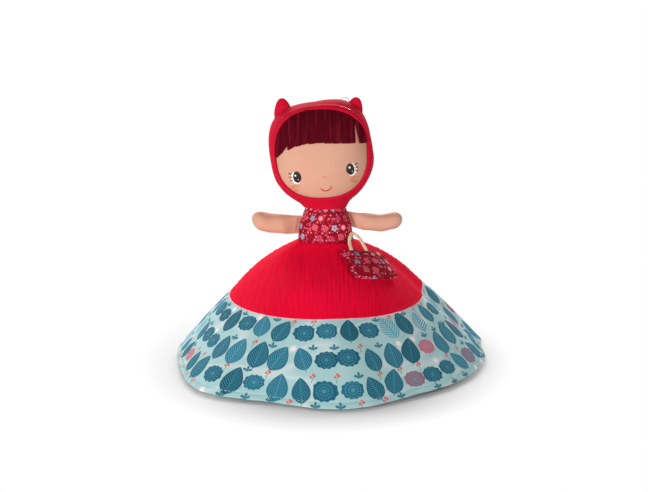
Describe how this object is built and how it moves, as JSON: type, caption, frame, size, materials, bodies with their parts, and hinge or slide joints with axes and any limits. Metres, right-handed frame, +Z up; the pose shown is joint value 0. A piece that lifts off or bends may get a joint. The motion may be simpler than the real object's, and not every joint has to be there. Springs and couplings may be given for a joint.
{
  "type": "reversible hand puppet",
  "caption": "Soft reversible rag-doll hand puppet: hooded head, stuffed arms, small bag and a wide skirt that hides a second, upside-down half.",
  "frame": {"origin": "below the middle of the whole doll, at the level of the hem that it stands on", "axes": "+Z up, the face looks along -Y, +X to the side of the arm with the bag"},
  "size_m": [0.3156, 0.3268, 0.2591],
  "materials": {
    "red_cloth": "crinkled cotton, bright red",
    "printed_border": "smooth cotton, pale aqua with a printed sprig pattern",
    "reverse_cloth": "plain cotton, grey mauve",
    "floral_cloth": "cotton, deep red with a small flower print",
    "hood_jersey": "soft red jersey",
    "skin_jersey": "soft beige jersey",
    "hair_velour": "dark burgundy velour",
    "loop_thread": "thin grey thread",
    "bag_cord": "pale gold cord",
    "grey_plush": "short grey plush",
    "pale_plush": "short pale grey plush",
    "dark_jersey": "dark jersey"
  },
  "bodies": {
    "main": {"skirt_upper_front": "red_cloth", "skirt_upper_right": "red_cloth", "skirt_upper_back": "red_cloth", "skirt_upper_left": "red_cloth", "skirt_border_front": "printed_border", "skirt_border_right": "printed_border", "skirt_border_back": "printed_border", "skirt_border_left": "printed_border", "reverse_skirt": "reverse_cloth", "bodice": "floral_cloth", "reverse_bodice": "reverse_cloth"},
    "neck_ball": {"neck": "hood_jersey"},
    "head_unit": {"head": "skin_jersey", "hood": "hood_jersey", "hair_fringe": "hair_velour", "hood_ear_left": "hood_jersey", "hood_ear_right": "hood_jersey"},
    "thread_loop": {"hang_loop": "loop_thread"},
    "left_arm": {"arm_left": "skin_jersey"},
    "right_arm": {"arm_right": "skin_jersey"},
    "bag_cord": {"bag_handle": "bag_cord"},
    "bag_unit": {"bag": "floral_cloth"},
    "reverse_neck_ball": {"reverse_neck": "grey_plush"},
    "reverse_head_unit": {"reverse_head": "grey_plush", "reverse_muzzle": "pale_plush", "reverse_nose": "dark_jersey", "reverse_ear_left": "grey_plush", "reverse_ear_right": "grey_plush"},
    "reverse_left_arm": {"reverse_arm_left": "grey_plush"},
    "reverse_right_arm": {"reverse_arm_right": "grey_plush"}
  },
  "joints": [
    {"name": "head_turn", "type": "hinge", "parent": "main", "child": "neck_ball", "pos_m": [-0.00648, 0.00336, 0.14], "axis": [0, 0, 1], "range_deg": [-30, 30], "stiffness_Nm_per_rad": 0.3},
    {"name": "head_nod", "type": "hinge", "parent": "neck_ball", "child": "head_unit", "pos_m": [-0.00648, 0.00336, 0.14], "axis": [-1, 0, 0], "range_deg": [-20, 20], "stiffness_Nm_per_rad": 1.5},
    {"name": "thread_loop_flop", "type": "hinge", "parent": "head_unit", "child": "thread_loop", "pos_m": [0.01202, -0.00264, 0.2537], "axis": [1, 0, 0], "range_deg": [-20, 20], "stiffness_Nm_per_rad": 0.0001},
    {"name": "left_arm_swing", "type": "hinge", "parent": "main", "child": "left_arm", "pos_m": [-0.03569, 0.00336, 0.1323], "axis": [-0.217, 0, -0.9762], "range_deg": [-50, 50], "stiffness_Nm_per_rad": 0.05},
    {"name": "right_arm_swing", "type": "hinge", "parent": "main", "child": "right_arm", "pos_m": [0.02142, 0.00336, 0.1376], "axis": [-0.288, 0, 0.9576], "range_deg": [-50, 50], "stiffness_Nm_per_rad": 0.05},
    {"name": "bag_lift", "type": "hinge", "parent": "main", "child": "bag_cord", "pos_m": [0.0204, -0.00564, 0.1252], "axis": [-1, 0, 0], "range_deg": [0, 60]},
    {"name": "bag_flap", "type": "hinge", "parent": "bag_cord", "child": "bag_unit", "pos_m": [0.03004, -0.01961, 0.1077], "axis": [-0.8088, -0.5747, 0.1252], "range_deg": [0, 30]},
    {"name": "reverse_head_turn", "type": "hinge", "parent": "main", "child": "reverse_neck_ball", "pos_m": [-0.00648, 0.00336, 0.098], "axis": [0, 0, 1], "range_deg": [-30, 30], "stiffness_Nm_per_rad": 0.3},
    {"name": "reverse_head_nod", "type": "hinge", "parent": "reverse_neck_ball", "child": "reverse_head_unit", "pos_m": [-0.00648, 0.00336, 0.098], "axis": [1, 0, 0], "range_deg": [-20, 20], "stiffness_Nm_per_rad": 1},
    {"name": "reverse_left_arm_swing", "type": "hinge", "parent": "main", "child": "reverse_left_arm", "pos_m": [-0.03817, 0.00336, 0.103], "axis": [0, 0, -1], "range_deg": [-45, 45], "stiffness_Nm_per_rad": 0.05},
    {"name": "reverse_right_arm_swing", "type": "hinge", "parent": "main", "child": "reverse_right_arm", "pos_m": [0.02521, 0.00336, 0.103], "axis": [0, 0, 1], "range_deg": [-45, 45], "stiffness_Nm_per_rad": 0.05}
  ]
}
